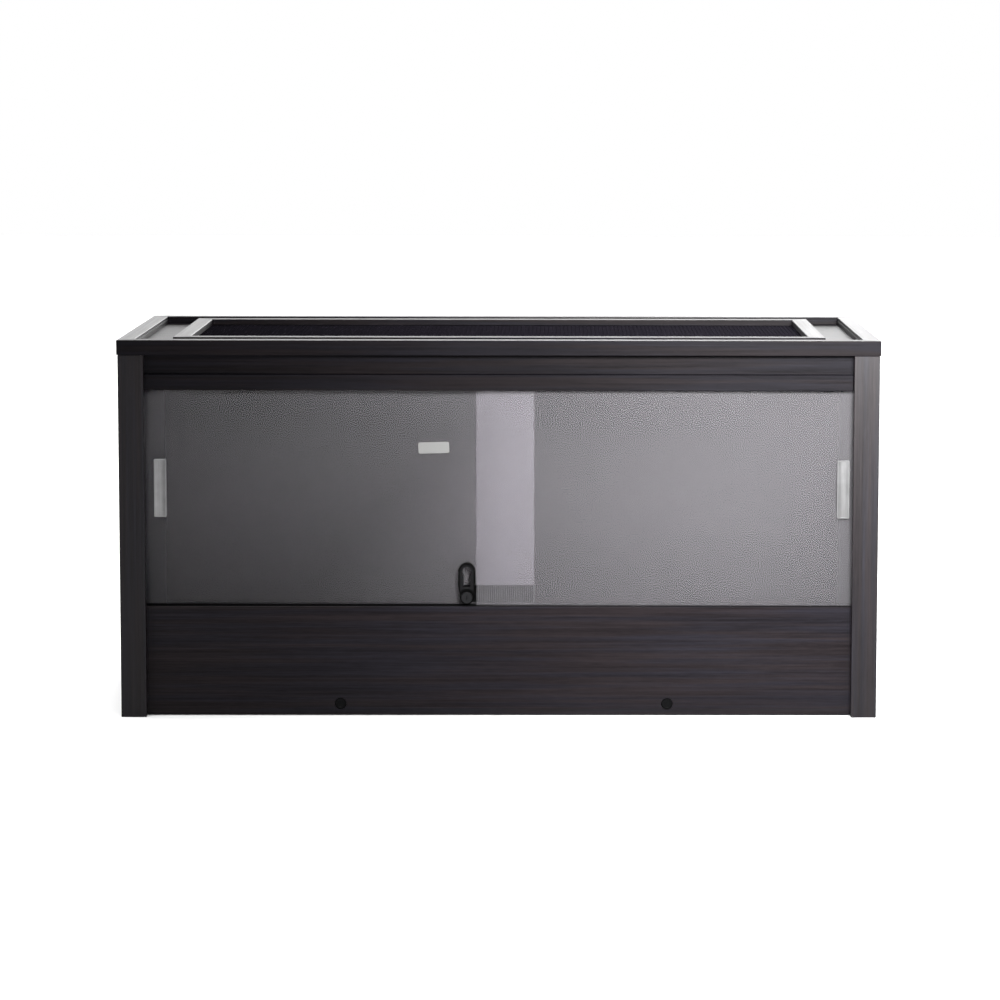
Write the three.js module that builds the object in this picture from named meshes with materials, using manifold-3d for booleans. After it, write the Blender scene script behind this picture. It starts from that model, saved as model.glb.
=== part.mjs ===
// Terrarium cabinet with two sliding glass doors and a mesh vent in its lid.
// Millimetres. X runs to the right, Y to the back, Z up; the origin is under the middle, on the floor.
import * as THREE from "three";
import { mergeGeometries, mergeVertices } from "three/addons/utils/BufferGeometryUtils.js";
import Module from "manifold-3d";

const wasm = await Module();
wasm.setup();

// ---- driving dimensions ----

const width = 1200; // over the rim
const depth = 500; // over the rim
const height = 600; // floor to the rim's top
const seat = 0.3; // gap between pieces that rest on each other
const past = 1; // a cutting shape runs this far past what it cuts
const arris = 0.7; // broken edge of a laminated board

const rimOverhang = 1.5; // of the rim past the carcass, all round
const rimHeight = 23.5;
const rimTopWidth = 26;
const rimLedgeWidth = 1.5; // step low on the rim's inner face
const rimLedgeDrop = 5; // of the step below the rim's top
const rimLegWidth = 12; // below the rabbet that the top panel lies in
const topPanelThickness = 12;

const ventFrontMargin = 32.5; // from the rim's inner edge to the vent frame
const ventSideMargin = 56.5;
const ventBarWidth = 26;
const ventRebate = 0.5; // the hole in the top panel is this much wider than the frame's window
const meshThickness = 1;
const meshLap = 12; // the mesh runs this far under the frame
const meshPitch = 48;
const meshStrand = 1.4;

const sideThickness = 16;
const stileWidth = 40;
const stileThickness = 16;

const frontBoardThickness = 22; // fascia and rail
const fasciaClearance = 1.5; // below the fascia
const fasciaTop = 175;
const fasciaLip = 3.8; // in front of the lower runner
const runnerRebate = 5; // the lower runner is sunk this far
const railHeight = 31;
const pelmetHeight = 25;
const pelmetProud = 5.3; // in front of the rail

const floorThickness = 16;
const floorBottom = 11;
const backThickness = 3;
const backInset = 9; // from the carcass's back edge to the back panel
const backBottom = 3;
const backGrooveDepth = 6;

const paneThickness = 4;
const paneEase = 0.5; // ground edge
const panePlay = 0.5; // each side of a pane in its groove
const paneSideGap = 1.5; // between a closed pane and the side panel
const paneEngagement = 10; // of a pane in the upper runner
const frontPaneEdge = -36.3; // left edge of the right door's pane
const rearPaneEdge = 55.6; // right edge of the left door's pane
const runnerWall = 1.2;
const runnerRib = 5; // middle rib, hollow
const ribRise = 1; // of the middle rib over the outer walls
const lowerGrooveDepth = 4.8;
const upperGrooveDepth = 17;

const pullWidth = 20;
const pullHeight = 93;
const pullThickness = 3.5;
const pullCorner = 1.6;
const pullEase = 0.4; // broken edge
const pullRise = 13.9; // of the pulls' middle over the middle of the glass that shows
const pullScoopDepth = 1.6;
const pullRim = 2; // flat rim left round the scoop
const scoopSides = 192;
const leftPullInset = 11.5; // from the stile's inner edge
const rightPullInset = 4;

const lockWidth = 27;
const lockHeight = 66;
const lockThickness = 14;
const lockFootRadius = 10.5;
const lockTaperHeight = 29; // the sides draw in below this
const lockStandoff = 0.6; // from the rear pane
const lockLift = 0.7; // above the lower runner
const lockEdgeGap = 1.5; // to the front pane's edge
const lockBevel = 1.6;
const eyeRadius = 7.3; // of the keyhole-shaped eye
const eyeDrop = 13.5; // from the lock's top to the eye's centre
const eyeSlotWidth = 9.7;
const eyeBottom = 38; // from the lock's top to the foot of the eye's slot
const barrelRadius = 9.2;
const barrelHeight = 11.2; // of its axis over the lock's foot
const barrelProud = 3;
const barrelBore = 7.5; // depth of its seat in the lock body
const barrelEase = 1.2;
const keywayLength = 7;
const keywayWidth = 1.6;
const keywayDepth = 4;
const pawlRadius = 2.5;
const pawlLength = 2;

const barHeight = 27;
const barLift = 2.5; // over the lock's foot
const barThickness = 1.5;
const barHook = 9; // behind the rear pane
const barTail = 5; // the bar stops this far inside the lock's left side
const toothPitch = 3;
const toothHeight = 1.3;
const toothSlant = 0.4; // of a tooth's steep side
const barChannelPlay = 0.5; // round the bar in the lock body

const capDiameter = 18;
const capThickness = 2.4;
const capEase = 0.9;
const capEdge = 2.2; // raised edge round the dished middle
const capDish = 0.5;
const leftCapX = -252;
const rightCapX = 267;
const screwHeadDiameter = 9;
const screwHeadHeight = 4;
const screwDiameter = 4.5;
const screwTip = 4;
const screwIntoFloor = 28;

const camDiameter = 15;
const camDepth = 12.5;
const camSetback = 34; // from the floor panel's end to the cam's axis
const camInset = 70; // from the floor panel's front and back edges
const boltShankDiameter = 7;
const boltThreadDiameter = 5;
const boltThreadLength = 11;
const boltWaistDiameter = 4;
const boltWaistLength = 2; // out of the cam
const boltTaper = 1; // from shank to waist
const boltHeadDiameter = 6;
const boltHeadLength = 4;
const dowelDiameter = 8;
const dowelEase = 1;
const dowelInSide = 9; // and in a stile
const dowelInBoard = 20;
const dowelInEdge = 14; // of a side panel, behind its stile
const dowelInset = 38; // from a cam bolt to the dowel beside it
const stileDowelOffset = 60; // above the fascia and below the rail
const holePlay = 0.3; // round a dowel, bolt or cam

const cableHoleDiameter = 60;
const cableHoleInset = 102.5; // of the cable hole's centre from the right side panel
const cableHoleDrop = 76.2; // below the carcass's top
const grommetFlange = 5;
const grommetFlangeThickness = 1.6;
const grommetWall = 2.2;
const grommetEase = 1;

const roundSides = 24;
const smallRoundSides = 12;

// ---- places that follow from them ----

const front = -depth / 2;
const carcassHalf = width / 2 - rimOverhang;
const carcassFront = front + rimOverhang;
const carcassBack = -carcassFront;
const rimBottom = height - rimHeight;
const carcassTop = rimBottom - seat;
const topPanelTop = rimBottom + topPanelThickness;

const sideInner = carcassHalf - sideThickness;
const stileInner = carcassHalf - stileWidth;
const stileBack = carcassFront + stileThickness;
const boardHalf = sideInner - seat; // boards between the side panels
const boardFront = stileBack + seat;
const boardBack = boardFront + frontBoardThickness;

const runnerFront = boardFront + fasciaLip + seat;
const groove = paneThickness + 2 * panePlay;
const frontPaneFace = runnerFront + runnerWall + panePlay;
const rearPaneFace = frontPaneFace + groove + runnerRib;
const railBottom = carcassTop - railHeight;
const pelmetTop = railBottom - seat;
const lowerRunnerBottom = fasciaTop - runnerRebate + seat;
const lowerRunnerTop = lowerRunnerBottom + runnerWall + lowerGrooveDepth + ribRise;
const upperRunnerTop = railBottom - seat;
const upperRunnerLip = upperRunnerTop - runnerWall - upperGrooveDepth;
const paneBottom = lowerRunnerBottom + runnerWall + seat;
const paneTop = upperRunnerLip + paneEngagement;
const paneOuter = sideInner - paneSideGap;
const pullCentreHeight = (lowerRunnerTop + pelmetTop - pelmetHeight) / 2 + pullRise;

const backPanelFront = carcassBack - backInset - backThickness;
const floorFront = boardBack + seat;
const floorBack = backPanelFront - seat;
const floorMiddle = floorBottom + floorThickness / 2;
const cableHoleX = sideInner - cableHoleInset;
const cableHoleHeight = carcassTop - cableHoleDrop;

const lockRight = frontPaneEdge - lockEdgeGap;
const lockX = lockRight - lockWidth / 2;
const lockFoot = lowerRunnerTop + lockLift;
const lockBack = rearPaneFace - lockStandoff;
const lockFront = lockBack - lockThickness;
const barBottom = lockFoot + barLift;
const barFace = rearPaneFace - seat - barThickness;

// ---- materials ----

const finish = (color, roughness, metalness = 0, extra = {}) =>
  new THREE.MeshStandardMaterial({ color, roughness, metalness, ...extra });
const laminate = finish(0x231d1e, 0.42);
const hardboard = finish(0x2b2524, 0.7);
const glass = finish(0xc4ccca, 0.05, 0, { transparent: true, opacity: 0.35 });
const brushedMetal = finish(0xa3a3a5, 0.38, 0.9);
const steel = finish(0xb4b6b8, 0.35, 1);
const blackPlastic = finish(0x17171a, 0.4);
const beech = finish(0xb58a5c, 0.75);

const cabinet = new THREE.Group();

/** Adds one named piece to the cabinet. */
function piece(name, geometry, material) {
  const mesh = new THREE.Mesh(geometry, material);
  mesh.name = name;
  cabinet.add(mesh);
  return mesh;
}

// ---- shapes ----

/** A closed geometry as a solid that can be cut. */
function toSolid(geometry) {
  const bare = geometry.clone();
  bare.deleteAttribute("normal");
  bare.deleteAttribute("uv");
  const merged = mergeVertices(bare, 1e-4);
  return new wasm.Manifold(
    new wasm.Mesh({
      numProp: 3,
      vertProperties: new Float32Array(merged.attributes.position.array),
      triVerts: new Uint32Array(merged.index.array),
    }),
  );
}

/** The body with each of the tools cut out of it. */
function cut(body, ...tools) {
  let solid = toSolid(body);
  for (const tool of tools) solid = solid.subtract(toSolid(tool));
  const mesh = solid.getMesh();
  const geometry = new THREE.BufferGeometry();
  geometry.setAttribute("position", new THREE.BufferAttribute(mesh.vertProperties, 3));
  geometry.setIndex(new THREE.BufferAttribute(mesh.triVerts, 1));
  geometry.computeVertexNormals();
  return geometry;
}

const outline = (points) => new THREE.Shape(points.map(([x, y]) => new THREE.Vector2(x, y)));

const extrude = (shape, length, bevel = 0, bevelSegments = 1, curveSegments = 8) =>
  new THREE.ExtrudeGeometry(shape, {
    depth: length - 2 * bevel,
    bevelEnabled: bevel > 0,
    bevelThickness: bevel,
    bevelSize: bevel,
    bevelOffset: -bevel,
    bevelSegments,
    curveSegments,
  }).translate(0, 0, bevel);

/** A rectangle with its corners broken. */
function brokenRectangle(x0, x1, y0, y1, c) {
  return [
    [x0 + c, y0], [x1 - c, y0], [x1, y0 + c], [x1, y1 - c],
    [x1 - c, y1], [x0 + c, y1], [x0, y1 - c], [x0, y0 + c],
  ];
}

/** A board between two corners, with all its edges broken. */
function board([x0, x1], [y0, y1], [z0, z1], edge = arris) {
  return extrude(outline(brokenRectangle(x0, x1, y0, y1, edge)), z1 - z0, edge).translate(0, 0, z0);
}

/** A plain block, for cutting. */
const block = ([x0, x1], [y0, y1], [z0, z1]) =>
  new THREE.BoxGeometry(x1 - x0, y1 - y0, z1 - z0).translate((x0 + x1) / 2, (y0 + y1) / 2, (z0 + z1) / 2);

/** An outline of [y, z] points, run along X. */
function alongX(points, x0, x1) {
  const turned = new THREE.Matrix4().set(0, 0, 1, x0, 1, 0, 0, 0, 0, 1, 0, 0, 0, 0, 0, 1);
  return extrude(outline(points), x1 - x0).applyMatrix4(turned);
}

/** An outline of [x, y] points, run up Z. */
const alongZ = (points, z0, z1) => extrude(outline(points), z1 - z0).translate(0, 0, z0);

/** A shape drawn in X and Z as seen from the front, from its back face towards the front. */
const facingFront = (shape, back, thickness, bevel, bevelSegments, curveSegments) =>
  extrude(shape, thickness, bevel, bevelSegments, curveSegments).rotateX(Math.PI / 2).translate(0, back, 0);

/** A round bar along X, Y or Z from one point, signed length. */
function rod(axis, [x, y, z], length, diameter, sides = smallRoundSides) {
  const bar = new THREE.CylinderGeometry(diameter / 2, diameter / 2, Math.abs(length), sides);
  bar.translate(0, length / 2, 0);
  if (axis === "x") bar.rotateZ(-Math.PI / 2);
  if (axis === "z") bar.rotateX(Math.PI / 2);
  return bar.translate(x, y, z);
}

/** A turned piece: [radius, height] points about Z, then laid along X, Y or Z. */
function turned(points, axis, [x, y, z], sides = smallRoundSides) {
  const body = new THREE.LatheGeometry(points.map(([r, h]) => new THREE.Vector2(r, h)), sides);
  if (axis === "x") body.rotateZ(-Math.PI / 2);
  if (axis === "-x") body.rotateZ(Math.PI / 2);
  if (axis === "z") body.rotateX(Math.PI / 2);
  return body.translate(x, y, z);
}

/** One side of a mitred frame: [inset, z] section, outer length, and half the frame's size across it. */
function mitredBar(section, length, across) {
  const bar = extrude(outline(section), 1);
  const place = bar.attributes.position;
  for (let i = 0; i < place.count; i += 1) {
    const inset = place.getX(i);
    const end = length / 2 - inset - seat / 2;
    place.setXYZ(i, (2 * place.getZ(i) - 1) * end, inset - across, place.getY(i));
  }
  return bar;
}

/** The four mitred bars of a frame, named PREFIX_front and so on. */
function mitredFrame(prefix, section, halfWidth, halfDepth, material) {
  const bars = [
    ["front", 0, halfWidth, halfDepth],
    ["right", Math.PI / 2, halfDepth, halfWidth],
    ["back", Math.PI, halfWidth, halfDepth],
    ["left", -Math.PI / 2, halfDepth, halfWidth],
  ];
  for (const [side, angle, halfLength, across] of bars) {
    const bar = piece(`${prefix}_${side}`, mitredBar(section, 2 * halfLength, across), material);
    bar.rotation.z = angle;
  }
}

const bothSides = [["left", -1], ["right", 1]];
const span = (side, a, b) => (side < 0 ? [-b, -a] : [a, b]); // from a to b on that side

// ---- joinery: every fastener has its hole ----

const boltLines = [floorFront + camInset, floorBack - camInset];
const dowelLines = [boltLines[0] + dowelInset, boltLines[1] - dowelInset];
const endNames = ["front", "back"];
const boardMiddle = (boardFront + boardBack) / 2;
const stileMiddle = carcassHalf - sideThickness / 2;
const fasciaDowelHeight = (floorBottom + floorThickness + fasciaTop) / 2;
const railDowelHeight = railBottom + railHeight / 2;
const stileDowelHeights = [fasciaTop + stileDowelOffset, railBottom - stileDowelOffset];
const crossDowels = [
  ...dowelLines.map((y, i) => [`floor_dowel_${endNames[i]}`, y, floorMiddle]),
  ["fascia_dowel", boardMiddle, fasciaDowelHeight],
  ["rail_dowel", boardMiddle, railDowelHeight],
];

/** Holes for the dowels that run from a side panel into the boards between the panels. */
function crossDowelHoles(side, wanted) {
  return crossDowels
    .filter(([name]) => name.startsWith(wanted))
    .map(([, y, z]) =>
      rod("x", [side * (boardHalf + seat + dowelInSide), y, z],
        -side * (dowelInSide + dowelInBoard + 2 * seat), dowelDiameter + 2 * holePlay));
}

const dowelProfile = (length) => [
  [0, 0], [dowelDiameter / 2 - dowelEase, 0], [dowelDiameter / 2, dowelEase],
  [dowelDiameter / 2, length - dowelEase], [dowelDiameter / 2 - dowelEase, length], [0, length],
];

function addDowels() {
  const crossLength = dowelInSide + dowelInBoard - seat;
  const stileLength = dowelInSide + dowelInEdge - 2 * seat;
  for (const [name, side] of bothSides) {
    for (const [stem, y, z] of crossDowels) {
      const start = [side * (sideInner + dowelInSide - seat), y, z];
      piece(`${stem}_${name}`, turned(dowelProfile(crossLength), side < 0 ? "x" : "-x", start), beech);
    }
    for (const [i, z] of stileDowelHeights.entries()) {
      const start = [side * stileMiddle, stileBack - dowelInSide + seat, z];
      const stem = `stile_dowel_${["lower", "upper"][i]}`;
      piece(`${stem}_${name}`, turned(dowelProfile(stileLength), "y", start), beech);
    }
  }
}

const stileDowelHoles = (side) =>
  stileDowelHeights.map((z) =>
    rod("y", [side * stileMiddle, stileBack - dowelInSide, z], dowelInSide + dowelInEdge,
      dowelDiameter + 2 * holePlay));

/** Cams from below in the floor panel's ends, and the bolts that they draw in. */
function addCams() {
  const slot = boltHeadDiameter + 2 * holePlay;
  for (const [name, side] of bothSides) {
    for (const [i, y] of boltLines.entries()) {
      const camX = side * (boardHalf - camSetback);
      const cam = rod("z", [camX, y, floorBottom + seat], camDepth, camDiameter, roundSides);
      const mouth = block(
        span(side, boardHalf - camSetback - boltHeadLength / 2 - seat, boardHalf - camSetback + camDiameter),
        [y - slot / 2, y + slot / 2],
        [floorMiddle - slot / 2, floorMiddle + slot / 2],
      );
      piece(`floor_cam_${endNames[i]}_${name}`, cut(cam, mouth), steel);
      const end = boltThreadLength + sideInner - boardHalf + camSetback + boltHeadLength / 2;
      const waist = end - camDiameter / 2 - boltWaistLength;
      const profile = [
        [0, 0], [boltThreadDiameter / 2, 0], [boltThreadDiameter / 2, boltThreadLength - seat],
        [boltShankDiameter / 2, boltThreadLength + seat], [boltShankDiameter / 2, waist - boltTaper],
        [boltWaistDiameter / 2, waist], [boltWaistDiameter / 2, end - boltHeadLength],
        [boltHeadDiameter / 2, end - boltHeadLength], [boltHeadDiameter / 2, end], [0, end],
      ];
      const start = [side * (sideInner + boltThreadLength - seat), y, floorMiddle];
      piece(`floor_bolt_${endNames[i]}_${name}`, turned(profile, side < 0 ? "x" : "-x", start), steel);
    }
  }
}

const boltHoles = (side) =>
  boltLines.flatMap((y) => [
    rod("x", [side * (sideInner + boltThreadLength), y, floorMiddle], -side * (boltThreadLength + seat),
      boltThreadDiameter + 2 * holePlay),
    rod("x", [side * sideInner, y, floorMiddle], -side * (camSetback + seat),
      boltShankDiameter + 2 * holePlay),
  ]);

const camPockets = (side) =>
  boltLines.map((y) =>
    rod("z", [side * (boardHalf - camSetback), y, floorBottom - past], past + camDepth + 2 * seat,
      camDiameter + 2 * holePlay, roundSides));

// ---- carcass ----

/** Side panel with a groove for the back panel, run through from top to bottom. */
function addSidePanels() {
  const grooveFront = backPanelFront - seat;
  const grooveBack = backPanelFront + backThickness + seat;
  const grooveEnd = sideInner + backGrooveDepth;
  for (const [name, side] of bothSides) {
    const section = [
      [sideInner, boardFront], [carcassHalf, boardFront], [carcassHalf, carcassBack - arris],
      [carcassHalf - arris, carcassBack], [sideInner + arris, carcassBack], [sideInner, carcassBack - arris],
      [sideInner, grooveBack], [grooveEnd, grooveBack], [grooveEnd, grooveFront], [sideInner, grooveFront],
    ].map(([x, y]) => [side * x, y]);
    const body = alongZ(section, 0, carcassTop);
    const holes = [
      ...crossDowelHoles(side, ""),
      ...boltHoles(side),
      ...stileDowelHoles(side),
    ];
    piece(`${name}_side_panel`, cut(body, ...holes), laminate);
  }
}

function addStiles() {
  for (const [name, side] of bothSides) {
    const body = board(span(side, stileInner, carcassHalf), [carcassFront, stileBack], [0, carcassTop]);
    piece(`${name}_front_stile`, cut(body, ...stileDowelHoles(side)), laminate);
  }
}

/** Lower fascia: a lip in front and a rebate behind it for the runner. */
function addFascia() {
  const z0 = fasciaClearance;
  const section = [
    [boardFront + arris, z0], [boardBack, z0], [boardBack, fasciaTop - runnerRebate],
    [boardFront + fasciaLip, fasciaTop - runnerRebate], [boardFront + fasciaLip, fasciaTop],
    [boardFront + arris, fasciaTop], [boardFront, fasciaTop - arris], [boardFront, z0 + arris],
  ];
  const holes = bothSides.flatMap(([, side]) => crossDowelHoles(side, "fascia"));
  for (const x of [leftCapX, rightCapX]) {
    const capSeat = boardFront + capThickness + seat;
    holes.push(rod("y", [x, boardFront - past, floorMiddle], past + capThickness + seat,
      capDiameter + 2 * holePlay, roundSides));
    holes.push(rod("y", [x, capSeat - seat, floorMiddle], screwHeadHeight + 2 * seat,
      screwHeadDiameter + 2 * holePlay));
    holes.push(rod("y", [x, capSeat, floorMiddle], frontBoardThickness, screwDiameter + 2 * holePlay));
  }
  piece("lower_fascia", cut(alongX(section, -boardHalf, boardHalf), ...holes), laminate);
}

function addRailAndPelmet() {
  const rail = board([-boardHalf, boardHalf], [boardFront, boardBack], [railBottom, carcassTop]);
  const holes = bothSides.flatMap(([, side]) => crossDowelHoles(side, "rail"));
  piece("upper_rail", cut(rail, ...holes), laminate);
  const pelmetHalf = stileInner - seat;
  piece("pelmet_strip", board([-pelmetHalf, pelmetHalf], [boardFront - pelmetProud, runnerFront - seat],
    [pelmetTop - pelmetHeight, pelmetTop]), laminate);
}

function addFloor() {
  const body = board([-boardHalf, boardHalf], [floorFront, floorBack],
    [floorBottom, floorBottom + floorThickness]);
  const holes = bothSides.flatMap(([, side]) => [
    ...crossDowelHoles(side, "floor"),
    ...boltHoles(side),
    ...camPockets(side),
  ]);
  for (const x of [leftCapX, rightCapX])
    holes.push(rod("y", [x, floorFront - past, floorMiddle], past + screwIntoFloor + seat,
      screwDiameter + 2 * holePlay));
  piece("floor_panel", cut(body, ...holes), laminate);
}

/** Thin back panel in the side panels' grooves, with a bushed hole for cables. */
function addBack() {
  const half = sideInner + backGrooveDepth - seat;
  const body = block([-half, half], [backPanelFront, backPanelFront + backThickness],
    [backBottom, carcassTop]);
  const hole = rod("y", [cableHoleX, backPanelFront - past, cableHoleHeight], backThickness + 2 * past,
    cableHoleDiameter, roundSides);
  piece("back_panel", cut(body, hole), hardboard);

  const outer = cableHoleDiameter / 2 - seat;
  const flange = cableHoleDiameter / 2 + grommetFlange;
  const inside = outer - grommetWall;
  const length = grommetFlangeThickness + backThickness + 2 * seat + grommetFlangeThickness;
  const under = length - grommetFlangeThickness;
  const profile = [
    [inside, 0], [outer, 0], [outer, under], [flange - grommetEase, under],
    [flange, under + grommetEase / 2], [flange - grommetEase, length], [inside, length], [inside, 0],
  ];
  const start = [cableHoleX, backPanelFront - grommetFlangeThickness - seat, cableHoleHeight];
  piece("cable_grommet", turned(profile, "y", start, roundSides), blackPlastic);
}

/** Screws from the fascia into the floor panel's front edge, under round caps. */
function addFasciaScrews() {
  const capBack = boardFront + capThickness;
  const shank = boardBack + screwIntoFloor - capBack - seat;
  for (const [name, x] of [["left", leftCapX], ["right", rightCapX]]) {
    const radius = capDiameter / 2;
    const cap = [
      [0, capDish], [radius - capEase - capEdge, capDish], [radius - capEase - capEdge + capDish, 0],
      [radius - capEase, 0], [radius, capEase], [radius, capThickness], [0, capThickness],
    ];
    piece(`fascia_cap_${name}`, turned(cap, "y", [x, boardFront, floorMiddle], roundSides), blackPlastic);
    const screw = [
      [0, 0], [screwHeadDiameter / 2, 0], [screwDiameter / 2, screwHeadHeight],
      [screwDiameter / 2, shank - screwTip], [0, shank],
    ];
    piece(`fascia_screw_${name}`, turned(screw, "y", [x, capBack + seat, floorMiddle]), steel);
  }
}

// ---- lid ----

function addRim() {
  const rabbet = topPanelTop + seat;
  const ledge = height - rimLedgeDrop;
  const foot = rimTopWidth + rimLedgeWidth;
  const section = [
    [arris, rimBottom], [rimLegWidth, rimBottom], [rimLegWidth, rabbet], [foot, rabbet], [foot, ledge],
    [rimTopWidth, ledge], [rimTopWidth, height - arris], [rimTopWidth - arris, height], [arris, height],
    [0, height - arris], [0, rimBottom + arris],
  ];
  mitredFrame("rim", section, width / 2, depth / 2, laminate);
}

function addVent() {
  const frameHalfWidth = width / 2 - rimTopWidth - ventSideMargin;
  const frameHalfDepth = depth / 2 - rimTopWidth - ventFrontMargin;
  const windowHalfWidth = frameHalfWidth - ventBarWidth;
  const windowHalfDepth = frameHalfDepth - ventBarWidth;
  const meshBottom = topPanelTop + seat;
  const frameBottom = meshBottom + meshThickness + seat;
  mitredFrame("vent_frame", brokenRectangle(0, ventBarWidth, frameBottom, height, arris), frameHalfWidth,
    frameHalfDepth, laminate);

  const panelHalfWidth = width / 2 - rimLegWidth - seat;
  const panelHalfDepth = depth / 2 - rimLegWidth - seat;
  const panel = block([-panelHalfWidth, panelHalfWidth], [-panelHalfDepth, panelHalfDepth],
    [rimBottom, topPanelTop]);
  const holeHalfWidth = windowHalfWidth + ventRebate;
  const holeHalfDepth = windowHalfDepth + ventRebate;
  const hole = block([-holeHalfWidth, holeHalfWidth], [-holeHalfDepth, holeHalfDepth],
    [rimBottom - past, topPanelTop + past]);
  piece("top_panel", cut(panel, hole), laminate);

  const meshHalfWidth = windowHalfWidth + meshLap;
  const meshHalfDepth = windowHalfDepth + meshLap;
  const columns = Math.round((2 * windowHalfWidth) / meshPitch);
  const rows = Math.round((2 * windowHalfDepth) / meshPitch);
  const stepX = (2 * windowHalfWidth) / columns;
  const stepY = (2 * windowHalfDepth) / rows;
  const meshTop = meshBottom + meshThickness;
  const plate = block([-meshHalfWidth, meshHalfWidth], [-meshHalfDepth, meshHalfDepth],
    [meshBottom, meshTop]);
  const gaps = [];
  for (let i = 0; i < columns; i += 1) {
    for (let j = 0; j < rows; j += 1) {
      const x = -windowHalfWidth + i * stepX;
      const y = -windowHalfDepth + j * stepY;
      gaps.push(block([x + meshStrand / 2, x + stepX - meshStrand / 2],
        [y + meshStrand / 2, y + stepY - meshStrand / 2], [meshBottom - past, meshTop + past]));
    }
  }
  piece("vent_mesh", cut(plate, mergeGeometries(gaps)), steel);
}

// ---- doors ----

/** Double-groove runner section in [y, z], floor at 0 and grooves open upwards. */
function runnerSection(grooveDepth) {
  const w = runnerWall;
  const ribStart = w + groove;
  const ribEnd = ribStart + runnerRib;
  const total = ribEnd + groove + w;
  const lip = w + grooveDepth;
  const crest = lip + ribRise;
  return [
    [0, 0], [ribStart + w, 0], [ribStart + w, crest - w], [ribEnd - w, crest - w], [ribEnd - w, 0],
    [total, 0], [total, lip], [total - w, lip], [total - w, w], [ribEnd, w], [ribEnd, crest],
    [ribStart, crest], [ribStart, w], [w, w], [w, lip], [0, lip],
  ];
}

function addRunners() {
  const lower = runnerSection(lowerGrooveDepth).map(([y, z]) => [runnerFront + y, lowerRunnerBottom + z]);
  piece("lower_runner", alongX(lower, -boardHalf, boardHalf), blackPlastic);
  const upper = runnerSection(upperGrooveDepth).map(([y, z]) => [runnerFront + y, upperRunnerTop - z]);
  piece("upper_runner", alongX(upper, -boardHalf, boardHalf), blackPlastic);
}

function addPanes() {
  const upright = [paneBottom, paneTop];
  piece("left_glass_pane", board([-paneOuter, rearPaneEdge], [rearPaneFace, rearPaneFace + paneThickness],
    upright, paneEase), glass);
  piece("right_glass_pane", board([frontPaneEdge, paneOuter], [frontPaneFace, frontPaneFace + paneThickness],
    upright, paneEase), glass);
}

/** Flat finger pull with a long shallow scoop, stuck to its pane. */
function pull(x, paneFace) {
  const half = pullWidth / 2;
  const z0 = pullCentreHeight - pullHeight / 2;
  const plate = facingFront(outline(brokenRectangle(x - half, x + half, z0, z0 + pullHeight, pullCorner)),
    paneFace - seat, pullThickness, pullEase, 1);
  const chord = half - pullRim;
  const radius = (chord * chord + pullScoopDepth * pullScoopDepth) / (2 * pullScoopDepth);
  const scoop = rod("z", [x, paneFace - seat - pullThickness - radius + pullScoopDepth, z0 + pullRim],
    pullHeight - 2 * pullRim, 2 * radius, scoopSides);
  return cut(plate, scoop);
}

function addPulls() {
  piece("left_door_pull", pull(-stileInner + leftPullInset + pullWidth / 2, rearPaneFace), brushedMetal);
  piece("right_door_pull", pull(stileInner - rightPullInset - pullWidth / 2, frontPaneFace), brushedMetal);
}

// ---- lock ----

/** Toothed bar, bent round the rear pane's free edge. */
function addRatchetBar() {
  const t = barThickness;
  const back = rearPaneFace - seat;
  const tail = lockRight - lockWidth + barTail;
  const outer = rearPaneEdge + seat + t;
  const hookFront = rearPaneFace + paneThickness + seat;
  const section = [
    [tail, back], [rearPaneEdge + seat, back], [rearPaneEdge + seat, hookFront],
    [outer - barHook, hookFront], [outer - barHook, hookFront + t], [outer, hookFront + t], [outer, barFace],
  ];
  const teeth = Math.floor((rearPaneEdge - tail) / toothPitch);
  for (let i = teeth; i > 0; i -= 1) {
    const x = tail + i * toothPitch;
    section.push([x, barFace], [x - toothSlant, barFace - toothHeight]);
  }
  section.push([tail, barFace]);
  piece("lock_ratchet_bar", alongZ(section, barBottom, barBottom + barHeight), steel);
}

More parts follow.
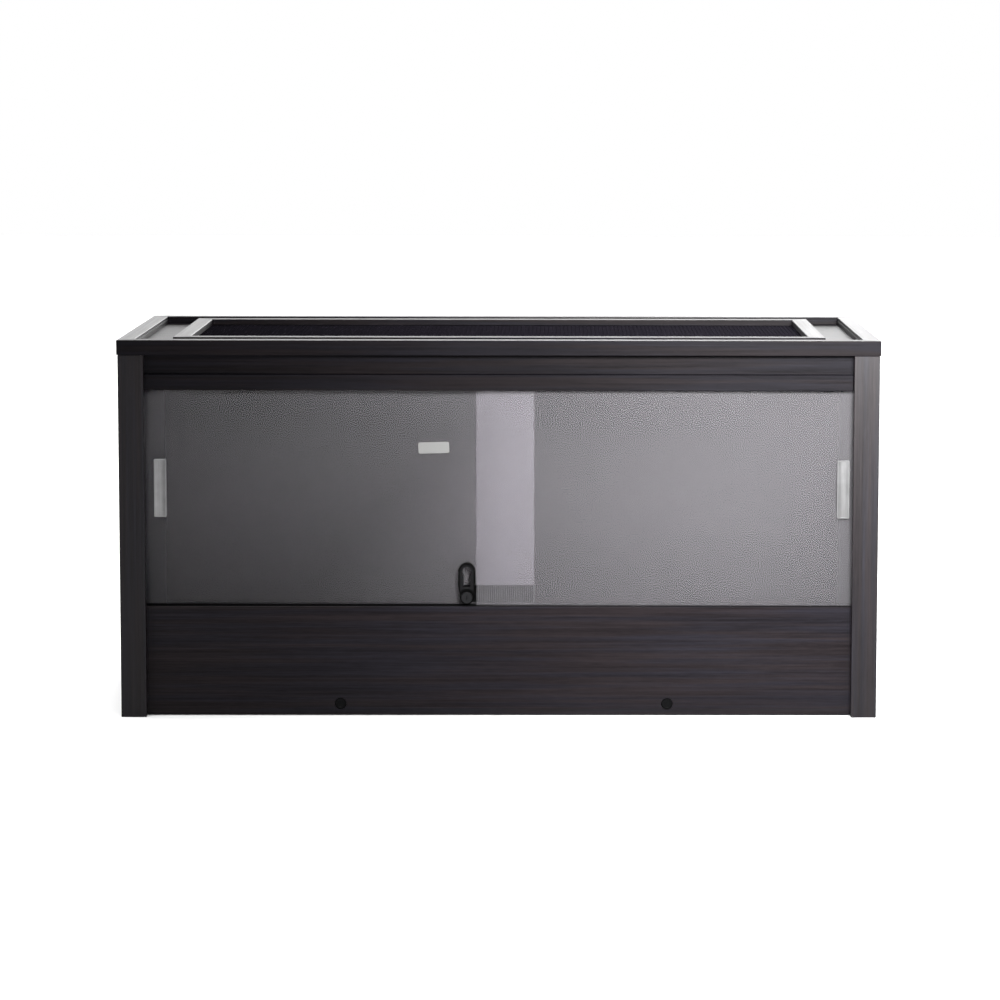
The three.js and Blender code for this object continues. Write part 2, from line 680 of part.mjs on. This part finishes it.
/** Tapered lock with a keyhole-shaped eye, a channel for the bar and a seat for the barrel. */
function addLock() {
  const r = lockWidth / 2;
  const top = lockFoot + lockHeight;
  const shape = new THREE.Shape();
  shape.moveTo(lockX + r, top - r);
  shape.absarc(lockX, top - r, r, 0, Math.PI);
  shape.lineTo(lockX - r, lockFoot + lockTaperHeight);
  shape.absarc(lockX, lockFoot + lockFootRadius, lockFootRadius, Math.PI, 2 * Math.PI);
  shape.lineTo(lockX + r, lockFoot + lockTaperHeight);
  const eyeZ = top - eyeDrop;
  const slotHalf = eyeSlotWidth / 2;
  const shoulder = Math.asin(slotHalf / eyeRadius);
  const eye = new THREE.Path();
  eye.moveTo(lockX - slotHalf, top - eyeBottom);
  eye.lineTo(lockX + slotHalf, top - eyeBottom);
  eye.absarc(lockX, eyeZ, eyeRadius, shoulder - Math.PI / 2, 1.5 * Math.PI - shoulder);
  shape.holes.push(eye);
  const body = facingFront(shape, lockBack, lockThickness, lockBevel, 2, 8);

  const channel = block(
    [lockX - lockWidth, lockX + lockWidth],
    [barFace - toothHeight - barChannelPlay, lockBack + past],
    [barBottom - barChannelPlay, barBottom + barHeight + barChannelPlay],
  );
  const barrelZ = lockFoot + barrelHeight;
  const barrelEnd = lockFront + barrelBore;
  const bore = rod("y", [lockX, lockFront - past, barrelZ], past + barrelBore, 2 * (barrelRadius + holePlay),
    roundSides);
  const pawlHole = rod("y", [lockX, barrelEnd - past, barrelZ], lockThickness, 2 * (pawlRadius + holePlay));
  piece("lock_body", cut(body, channel, bore, pawlHole), blackPlastic);

  const barrelLength = barrelBore + barrelProud - seat;
  const barrelFront = lockFront - barrelProud;
  const profile = [
    [0, 0], [barrelRadius - barrelEase, 0], [barrelRadius, barrelEase], [barrelRadius, barrelLength],
    [0, barrelLength],
  ];
  const keyway = block(
    [lockX - keywayWidth / 2, lockX + keywayWidth / 2],
    [barrelFront - past, barrelFront + keywayDepth],
    [barrelZ - keywayLength / 2, barrelZ + keywayLength / 2],
  );
  const barrel = turned(profile, "y", [lockX, barrelFront, barrelZ], roundSides);
  piece("lock_barrel", cut(barrel, keyway), blackPlastic);
  piece("lock_pawl", rod("y", [lockX, barrelEnd + seat, barrelZ], pawlLength, 2 * pawlRadius), steel);
}

addSidePanels();
addStiles();
addFascia();
addRailAndPelmet();
addFloor();
addBack();
addFasciaScrews();
addDowels();
addCams();
addRim();
addVent();
addRunners();
addPanes();
addPulls();
addRatchetBar();
addLock();

export default cabinet;
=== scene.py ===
"""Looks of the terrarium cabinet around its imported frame: materials, woven mesh, label, camera and light."""

import math

import bmesh
import bpy
from mathutils import Matrix, Vector


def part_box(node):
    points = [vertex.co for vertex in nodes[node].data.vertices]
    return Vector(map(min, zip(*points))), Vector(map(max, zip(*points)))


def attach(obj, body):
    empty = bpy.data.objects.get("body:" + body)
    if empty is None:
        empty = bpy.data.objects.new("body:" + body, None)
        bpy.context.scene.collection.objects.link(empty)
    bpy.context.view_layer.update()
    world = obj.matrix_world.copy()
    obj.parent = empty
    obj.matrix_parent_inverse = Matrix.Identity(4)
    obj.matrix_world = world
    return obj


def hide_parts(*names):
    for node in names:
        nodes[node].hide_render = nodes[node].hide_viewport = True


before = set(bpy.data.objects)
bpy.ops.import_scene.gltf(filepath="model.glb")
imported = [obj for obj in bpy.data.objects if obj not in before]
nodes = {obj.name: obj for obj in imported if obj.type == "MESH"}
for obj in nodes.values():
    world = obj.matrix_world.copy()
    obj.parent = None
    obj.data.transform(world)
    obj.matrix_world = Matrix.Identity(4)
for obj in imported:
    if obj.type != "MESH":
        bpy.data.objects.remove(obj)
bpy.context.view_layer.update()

MM = 0.001

# ---- camera: focal length and principal point in pixels of a 1000 pixel frame ----
FRAME_PX = 1000
FOCAL_PX = 3216.4
PRINCIPAL_PX = (560.0, 385.0)
SENSOR_MM = 36.0
CAMERA_PLACE = Vector((0.0714, -5.2742, 1.0312))
CAMERA_YAW = 0.279
CAMERA_PITCH = 5.693
CAMERA_ROLL = 0.11


def add_camera():
    data = bpy.data.cameras.new("camera")
    data.sensor_width = SENSOR_MM
    data.lens = FOCAL_PX / FRAME_PX * SENSOR_MM
    data.shift_x = 0.5 - PRINCIPAL_PX[0] / FRAME_PX
    data.shift_y = PRINCIPAL_PX[1] / FRAME_PX - 0.5
    data.clip_end = 100
    camera = bpy.data.objects.new("camera", data)
    yaw, pitch, roll = (math.radians(a) for a in (CAMERA_YAW, CAMERA_PITCH, CAMERA_ROLL))
    forward = Vector((math.sin(yaw) * math.cos(pitch), math.cos(yaw) * math.cos(pitch), -math.sin(pitch)))
    level = Vector((math.cos(yaw), -math.sin(yaw), 0))
    up = level.cross(forward)
    right = level * math.cos(roll) + up * math.sin(roll)
    up = up * math.cos(roll) - level * math.sin(roll)
    turn = Matrix((right, up, -forward)).transposed().to_4x4()
    camera.matrix_world = Matrix.Translation(CAMERA_PLACE) @ turn
    bpy.context.collection.objects.link(camera)
    bpy.context.scene.camera = camera


# ---- material helpers ----


class Finish:
    """A material's node tree, with one Principled shader."""

    def __init__(self, name, **sockets):
        self.material = bpy.data.materials.new(name)
        self.material.use_nodes = True
        self.tree = self.material.node_tree
        self.shader = self.tree.nodes["Principled BSDF"]
        for socket, value in sockets.items():
            self.shader.inputs[socket.replace("_", " ")].default_value = value
        self.place = self.add("TEXCO", "ShaderNodeTexCoord").outputs["Object"]

    def add(self, label, kind, links=(), **values):
        node = self.tree.nodes.new(kind)
        node.label = label
        for name, value in values.items():
            if name in node.inputs:
                node.inputs[name].default_value = value
            else:
                setattr(node, name, value)
        for name, source in dict(links).items():
            self.tree.links.new(source, node.inputs[name])
        return node

    def stretched(self, scale):
        """Object coordinates in metres, scaled per axis."""
        return self.add("stretch", "ShaderNodeMapping", {"Vector": self.place}, Scale=scale).outputs["Vector"]

    def noise(self, scale, detail=3.0, roughness=0.5, distortion=0.0):
        """Noise with so many waves a metre along each axis."""
        node = self.add("noise", "ShaderNodeTexNoise", {"Vector": self.stretched(scale)}, Scale=1.0,
                        Detail=detail, Roughness=roughness, Distortion=distortion)
        return node.outputs["Fac"]

    def ramp(self, value, low, high, to_low=0.0, to_high=1.0):
        node = self.add("ramp", "ShaderNodeMapRange", {"Value": value})
        for name, number in (("From Min", low), ("From Max", high), ("To Min", to_low), ("To Max", to_high)):
            node.inputs[name].default_value = number
        return node.outputs["Result"]

    def blend(self, factor, dark, light):
        node = self.add("blend", "ShaderNodeMix", data_type="RGBA")
        self.tree.links.new(factor, node.inputs["Factor"])
        for socket, colour in ((node.inputs[6], dark), (node.inputs[7], light)):
            if isinstance(colour, tuple):
                socket.default_value = (*colour, 1)
            else:
                self.tree.links.new(colour, socket)
        return node.outputs[2]

    def math(self, operation, a, b):
        node = self.add(operation, "ShaderNodeMath", operation=operation)
        for socket, value in zip(node.inputs, (a, b)):
            if isinstance(value, (int, float)):
                socket.default_value = value
            else:
                self.tree.links.new(value, socket)
        return node.outputs[0]

    def set(self, socket, value):
        self.tree.links.new(value, self.shader.inputs[socket])

    def bump(self, height, strength, distance):
        node = self.add("bump", "ShaderNodeBump", {"Height": height}, Strength=strength, Distance=distance)
        self.tree.links.new(node.outputs["Normal"], self.shader.inputs["Normal"])


def along(axis, fine, coarse):
    """Waves a metre: coarse along the grain's axis and fine across it."""
    return tuple(coarse if i == axis else fine for i in range(3))


# ---- materials ----


LAMINATE_HUES = ((0.24, 0.2, 0.24), (1.22, 0.96, 1.06), (1.03, 0.96, 1.28))  # pores, warm and cool
LAMINATE_ROUGHNESS = (0.34, 0.46)


def laminate(name, axis, gloss, tone):
    """Black-brown laminate with a printed and lightly pressed grain along one axis."""
    finish = Finish(name, Specular_IOR_Level=gloss)
    streaks = finish.noise(along(axis, 260, 3.5), detail=6, roughness=0.62, distortion=0.25)
    pores = finish.noise(along(axis, 1500, 42), detail=2, roughness=0.6)
    clouds = finish.noise(along(axis, 9, 2.2), detail=2)
    hues = finish.ramp(finish.noise(along(axis, 95, 2.6), detail=3), 0.42, 0.58)
    figure = finish.math("ADD", finish.math("MULTIPLY", streaks, 0.55), finish.math("MULTIPLY", pores, 0.30))
    figure = finish.math("ADD", figure, finish.math("MULTIPLY", clouds, 0.15))
    dark, warm, cool = (tuple(tone * c for c in colour) for colour in LAMINATE_HUES)
    light = finish.blend(hues, warm, cool)
    finish.set("Base Color", finish.blend(finish.ramp(figure, 0.32, 0.68), dark, light))
    finish.set("Roughness", finish.ramp(figure, 0.3, 0.7, *LAMINATE_ROUGHNESS))
    finish.bump(finish.math("ADD", pores, finish.math("MULTIPLY", streaks, 0.6)), 0.25, 0.00022)
    return finish.material


def hardboard():
    """Thin painted fibreboard with a faint felted surface."""
    finish = Finish("hardboard", Specular_IOR_Level=0.12)
    felt = finish.noise((900, 900, 900), detail=4)
    finish.set("Base Color", finish.blend(felt, (0.0022, 0.0018, 0.0022), (0.004, 0.0035, 0.004)))
    finish.set("Roughness", finish.ramp(felt, 0.3, 0.7, 0.5, 0.68))
    finish.bump(felt, 0.2, 0.0002)
    return finish.material


GLASS_TINT = (0.96, 0.935, 0.982)
FOOT_PAINTED_SHADE = 0.57  # painted shade of the film at the left pane's outer foot, where less light falls
PAINTED_SHADE_FADE_UP = (0.2, 0.5)  # heights between which that shade fades out
PAINTED_SHADE_FADE_RIGHT = (-0.3, 0.0)  # places along X between which it fades out too
WIPED_ROUGHNESS = (0.0, 0.02)
PANE_SHADOW = 0.15  # what is left of a pane's shadow, so that light reaches what is behind it


def glass():
    """Float glass under a thin film of dust, with painted shade at the left pane's outer foot, and wiping
    marks.
    """
    finish = Finish("glass", IOR=1.17, Transmission_Weight=0.978)
    place = finish.add("split", "ShaderNodeSeparateXYZ", {"Vector": finish.place}).outputs
    # painted shade: the film's colour darkens towards the left pane's outer foot, fading out upwards and to
    # the right
    upward, rightward = finish.ramp(place["Z"], *PAINTED_SHADE_FADE_UP), finish.ramp(place["X"], *PAINTED_SHADE_FADE_RIGHT)
    clear = finish.math("MAXIMUM", upward, rightward)
    shaded = tuple(FOOT_PAINTED_SHADE * c for c in GLASS_TINT)
    finish.set("Base Color", finish.blend(clear, shaded, GLASS_TINT))
    wiping = finish.noise((14, 14, 46), detail=5, roughness=0.6, distortion=0.8)
    finish.set("Roughness", finish.ramp(wiping, 0.35, 0.75, *WIPED_ROUGHNESS))
    shadow = finish.add("shadow", "ShaderNodeLightPath").outputs["Is Shadow Ray"]
    finish.set("Alpha", finish.ramp(shadow, 0, 1, 1.0, PANE_SHADOW))
    return finish.material


def brushed(name, dark, light, axis=2, roughness=(0.24, 0.42)):
    """Brushed metal with fine lines along one axis."""
    finish = Finish(name, Metallic=1.0, Anisotropic=0.5)
    lines = finish.noise(along(axis, 2600, 12), detail=4, roughness=0.65)
    stains = finish.noise((70, 70, 70), detail=3)
    tone = finish.math("ADD", finish.math("MULTIPLY", lines, 0.7), finish.math("MULTIPLY", stains, 0.3))
    finish.set("Base Color", finish.blend(finish.ramp(tone, 0.35, 0.65), dark, light))
    finish.set("Roughness", finish.ramp(tone, 0.3, 0.7, *roughness))
    finish.bump(lines, 0.15, 0.0001)
    return finish.material


def moulded(name, colour, roughness=(0.3, 0.42), grain=2200, gloss=0.5):
    """Moulded plastic with a fine spark-eroded grain."""
    finish = Finish(name, Specular_IOR_Level=gloss)
    spark = finish.noise((grain,) * 3, detail=3)
    lighter = tuple(1.35 * c for c in colour)
    finish.set("Base Color", finish.blend(spark, colour, lighter))
    finish.set("Roughness", finish.ramp(spark, 0.3, 0.7, *roughness))
    finish.bump(spark, 0.18, 0.0001)
    return finish.material


LOCK_RIM_PAINTED_SHADE = 2.4 * MM  # painted shade: a near-black band round the lock's face, for the rim's slope that faces the dark room
LOCK_BARREL_PAINTED_SHADOW = 4.5 * MM  # painted shadow: a near-black band round its barrel, drawn for the shade above it


def lock_finish():
    """Black lock casting, with painted shade on the rim round its face and a painted shadow round its barrel;
    the face between them is lighter.
    """
    finish = Finish("lock_casting", Specular_IOR_Level=0.05)
    low, high = (Vector(corner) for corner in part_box("lock_body"))
    barrel_low, barrel_high = (Vector(corner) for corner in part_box("lock_barrel"))
    half = (high.x - low.x) / 2
    place = finish.add("split", "ShaderNodeSeparateXYZ", {"Vector": finish.place}).outputs
    sideways = finish.math("SUBTRACT", place["X"], (low.x + high.x) / 2)

    def distance(height):
        squares = (finish.math("MULTIPLY", length, length) for length in (sideways, height))
        return finish.math("SQRT", finish.math("ADD", *squares), 0.0)

    from_axis = distance(finish.math("MAXIMUM", finish.math("SUBTRACT", place["Z"], high.z - half), 0.0))
    from_barrel = distance(finish.math("SUBTRACT", place["Z"], (barrel_low.z + barrel_high.z) / 2))
    inside_rim_shade = finish.ramp(from_axis, half - LOCK_RIM_PAINTED_SHADE, half - LOCK_RIM_PAINTED_SHADE - MM)
    barrel_radius = (barrel_high.x - barrel_low.x) / 2
    beyond_barrel_shadow = finish.ramp(from_barrel, barrel_radius + LOCK_BARREL_PAINTED_SHADOW, barrel_radius + LOCK_BARREL_PAINTED_SHADOW + MM)
    # face: where neither the painted rim shade nor the painted barrel shadow is drawn
    face = finish.math("MULTIPLY", inside_rim_shade, beyond_barrel_shadow)
    spark = finish.noise((2200,) * 3, detail=3)
    finish.set("Base Color", finish.blend(face, (0.0001, 0.0001, 0.0001), (0.0045, 0.0045, 0.005)))
    finish.set("Roughness", finish.ramp(face, 0, 1, 0.85, 0.34))
    finish.bump(spark, 0.18, 0.0001)
    return finish.material


def beech():
    finish = Finish("beech", Specular_IOR_Level=0.3)
    grain = finish.noise((40, 900, 900), detail=4)
    finish.set("Base Color", finish.blend(grain, (0.36, 0.2, 0.09), (0.52, 0.32, 0.16)))
    finish.set("Roughness", finish.ramp(grain, 0.3, 0.7, 0.6, 0.8))
    return finish.material


def paper():
    """Matt grey label paper."""
    finish = Finish("paper", Specular_IOR_Level=0.3)
    fibre = finish.noise((1400, 1400, 1400), detail=3)
    finish.set("Base Color", finish.blend(fibre, (0.115, 0.115, 0.113), (0.14, 0.14, 0.138)))
    finish.set("Roughness", finish.ramp(fibre, 0.3, 0.7, 0.6, 0.75))
    return finish.material


WOOD = (("x", 0.032, 0.0075), ("y", 0.1, 0.01), ("z", 0.15, 0.0118))  # the grain's way, gloss and tone
FASCIA_GLOSS = 0.045
FASCIA_TONE = 0.0135
END_WAYS = {"left": 1, "right": 1, "front": 0, "back": 0}  # the grain's axis in the lid's bars


def dress_cad():
    """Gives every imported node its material."""
    wood = [laminate(f"laminate_{way}", axis, gloss, tone) for axis, (way, gloss, tone) in enumerate(WOOD)]
    fascia = laminate("laminate_fascia", 0, FASCIA_GLOSS, FASCIA_TONE)
    black = moulded("black_plastic", (0.002, 0.002, 0.0022), gloss=0.04)
    pull = brushed("pull_metal", (0.17, 0.17, 0.172), (0.27, 0.27, 0.273), roughness=(0.34, 0.44))
    zinc = brushed("zinc_steel", (0.3, 0.3, 0.31), (0.5, 0.5, 0.51), axis=0)
    bar = brushed("bar_steel", (0.026, 0.026, 0.0265), (0.042, 0.042, 0.043), axis=0)
    lock = lock_finish()
    barrel = moulded("barrel_grey", (0.006, 0.006, 0.0066), roughness=(0.5, 0.62), gloss=0.08)
    pane = glass()
    board = hardboard()
    dowel = beech()
    for name, node in nodes.items():
        if name.startswith(("rim_", "vent_frame_")):
            material = wood[END_WAYS[name.split("_")[-1]]]
        elif name == "lower_fascia":
            material = fascia
        elif name in ("upper_rail", "pelmet_strip", "top_panel", "floor_panel"):
            material = wood[0]
        elif name.endswith(("side_panel", "stile")):
            material = wood[2]
        elif "glass" in name:
            material = pane
        elif "pull" in name:
            material = pull
        elif "dowel" in name:
            material = dowel
        elif name == "back_panel":
            material = board
        elif name == "lock_ratchet_bar":
            material = bar
        elif name == "lock_barrel":
            material = barrel
        elif name == "lock_body":
            material = lock
        elif name.startswith(("floor_bolt", "floor_cam", "fascia_screw", "lock_pawl")):
            material = zinc
        else:
            material = black
        node.data.materials.clear()
        node.data.materials.append(material)


# ---- pieces made here ----


def mesh_piece(name, build, material):
    """A mesh object from a function that fills a bmesh."""
    shape = bmesh.new()
    build(shape)
    mesh = bpy.data.meshes.new(name)
    shape.to_mesh(mesh)
    shape.free()
    piece = bpy.data.objects.new(name, mesh)
    piece.data.materials.append(material)
    bpy.context.collection.objects.link(piece)
    return piece


MESH_PITCH = 6.5 * MM
WIRE = 0.45 * MM  # half the width of a wire


def add_woven_mesh():
    """Fine woven wire in the vent, in place of the coarse grid."""
    low, high = (Vector(corner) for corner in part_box("vent_mesh"))
    middle = (low.z + high.z) / 2
    rise = (high.z - low.z) / 2 - WIRE
    counts = [round((high[i] - low[i]) / MESH_PITCH) for i in (0, 1)]
    steps = [(high[i] - low[i]) / counts[i] for i in (0, 1)]

    def wires(shape):
        for run, across in ((0, 1), (1, 0)):
            for j in range(counts[across]):
                side = low[across] + (j + 0.5) * steps[across]
                rings = []
                for i in range(counts[run] + 1):
                    centre = [0, 0, middle + rise * (1 if (i + j + run) % 2 else -1)]
                    centre[run] = low[run] + i * steps[run]
                    centre[across] = side
                    ring = []
                    for sideways, upward in ((-1, -1), (1, -1), (1, 1), (-1, 1)):
                        corner = list(centre)
                        corner[across] += sideways * WIRE * (1 if run == 0 else -1)
                        corner[2] += upward * WIRE * 0.5
                        ring.append(shape.verts.new(corner))
                    rings.append(ring)
                for before, after in zip(rings, rings[1:]):
                    for k in range(4):
                        n = (k + 1) % 4
                        shape.faces.new((before[k], before[n], after[n], after[k]))
                shape.faces.new(reversed(rings[0]))
                shape.faces.new(rings[-1])

    black = moulded("mesh_black", (0.0045, 0.004, 0.0055), roughness=(0.85, 0.95), grain=900, gloss=0.0)
    woven = mesh_piece("woven_vent_mesh", wires, black)
    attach(woven, "cabinet")
    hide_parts("vent_mesh")


LABEL_SIZE = (49 * MM, 18 * MM)
LABEL_PLACE = (-103.5 * MM, 427 * MM)  # X and Z of its middle on the left pane
LABEL_TURN = math.radians(-1.5)
LABEL_THICKNESS = 0.12 * MM


def add_label():
    """A blank paper label stuck on the left pane."""
    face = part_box("left_glass_pane")[0][1]
    turn = Matrix.Rotation(LABEL_TURN, 4, "Y")
    centre = Matrix.Translation((LABEL_PLACE[0], face - LABEL_THICKNESS, LABEL_PLACE[1]))
    size = Matrix.Diagonal((LABEL_SIZE[0], LABEL_THICKNESS, LABEL_SIZE[1], 1))

    def sheet(shape):
        bmesh.ops.create_cube(shape, size=1, matrix=centre @ turn @ size)
        upright = [e for e in shape.edges if abs((e.verts[0].co - e.verts[1].co).y) > LABEL_THICKNESS / 2]
        bmesh.ops.bevel(shape, geom=upright, offset=1.2 * MM, segments=4, affect="EDGES")

    label = mesh_piece("blank_label", sheet, paper())
    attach(label, "left_door")


# ---- floor and light ----

FLOOR_HALF = 14.0
FLOOR_COLOUR = (0.86, 0.86, 0.86)


def add_floor():
    finish = Finish("studio_floor", Specular_IOR_Level=0.2, Roughness=0.8)
    speckle = finish.noise((3, 3, 3), detail=2)
    finish.set("Base Color", finish.blend(speckle, tuple(0.985 * c for c in FLOOR_COLOUR), FLOOR_COLOUR))

    def plane(shape):
        corners = [(-1, -1), (1, -1), (1, 1), (-1, 1)]
        shape.faces.new([shape.verts.new((x * FLOOR_HALF, y * FLOOR_HALF, 0)) for x, y in corners])

    floor = mesh_piece("studio_floor", plane, finish.material)


def lamp(name, kind, place, turn, energy, **values):
    """A lamp of one kind; its turn is in degrees, and unturned it points down."""
    data = bpy.data.lights.new(name, kind)
    data.energy = energy
    for key, value in values.items():
        setattr(data, key, value)
    light = bpy.data.objects.new(name, data)
    light.location = place
    light.rotation_euler = tuple(math.radians(angle) for angle in turn)
    light.visible_camera = False
    bpy.context.collection.objects.link(light)


def add_lights():
    """An even light from above, and a softbox in front of the right door that fades out over the left one."""
    lamp("overhead", "SUN", (0, 0, 4), (5, -1, 0), 5.0, angle=math.radians(50))
    lamp("softbox_right", "AREA", (0.66, -1.85, 1.15), (76, 0, 3), 35,
         shape="RECTANGLE", size=0.8, size_y=0.5, spread=math.radians(60))


WORLD_FRONT = 0.05  # brightness of the room
WORLD_BACK = (3.1, 8.6)  # and of the white wall behind the cabinet, near the horizon: left and right


def add_world():
    """A dim room with a bright low wall behind the cabinet; the camera itself sees plain white."""
    world = bpy.data.worlds.new("studio")
    bpy.context.scene.world = world
    world.use_nodes = True
    tree = world.node_tree
    tree.nodes.clear()
    place = tree.nodes.new("ShaderNodeTexCoord")
    parts = tree.nodes.new("ShaderNodeSeparateXYZ")
    tree.links.new(place.outputs["Generated"], parts.inputs[0])

    def fade(source, start, end, at_start=0.0, at_end=1.0):
        node = tree.nodes.new("ShaderNodeMapRange")
        node.interpolation_type = "SMOOTHSTEP"
        tree.links.new(source, node.inputs["Value"])
        for name, value in (("From Min", start), ("From Max", end), ("To Min", at_start), ("To Max", at_end)):
            node.inputs[name].default_value = value
        return node.outputs["Result"]

    def combine(operation, a, b):
        node = tree.nodes.new("ShaderNodeMath")
        node.operation = operation
        for socket, value in zip(node.inputs, (a, b)):
            if isinstance(value, float):
                socket.default_value = value
            else:
                tree.links.new(value, socket)
        return node.outputs[0]

    wall = combine("MULTIPLY", fade(parts.outputs["Y"], -0.1, 0.5), fade(parts.outputs["Z"], 0.5, 0.2))
    wall = combine("MULTIPLY", wall, fade(parts.outputs["X"], -0.2, 0.22, *WORLD_BACK))
    room = combine("ADD", wall, WORLD_FRONT)
    path = tree.nodes.new("ShaderNodeLightPath")
    seen = tree.nodes.new("ShaderNodeMix")
    tree.links.new(path.outputs["Is Camera Ray"], seen.inputs["Factor"])
    tree.links.new(room, seen.inputs["A"])
    seen.inputs["B"].default_value = 1.0
    light = tree.nodes.new("ShaderNodeBackground")
    light.inputs["Color"].default_value = (1, 1, 1, 1)
    tree.links.new(seen.outputs["Result"], light.inputs["Strength"])
    out = tree.nodes.new("ShaderNodeOutputWorld")
    tree.links.new(light.outputs[0], out.inputs["Surface"])


bpy.context.scene.view_settings.view_transform = "Standard"
add_camera()
dress_cad()
add_woven_mesh()
add_label()
add_floor()
add_lights()
add_world()
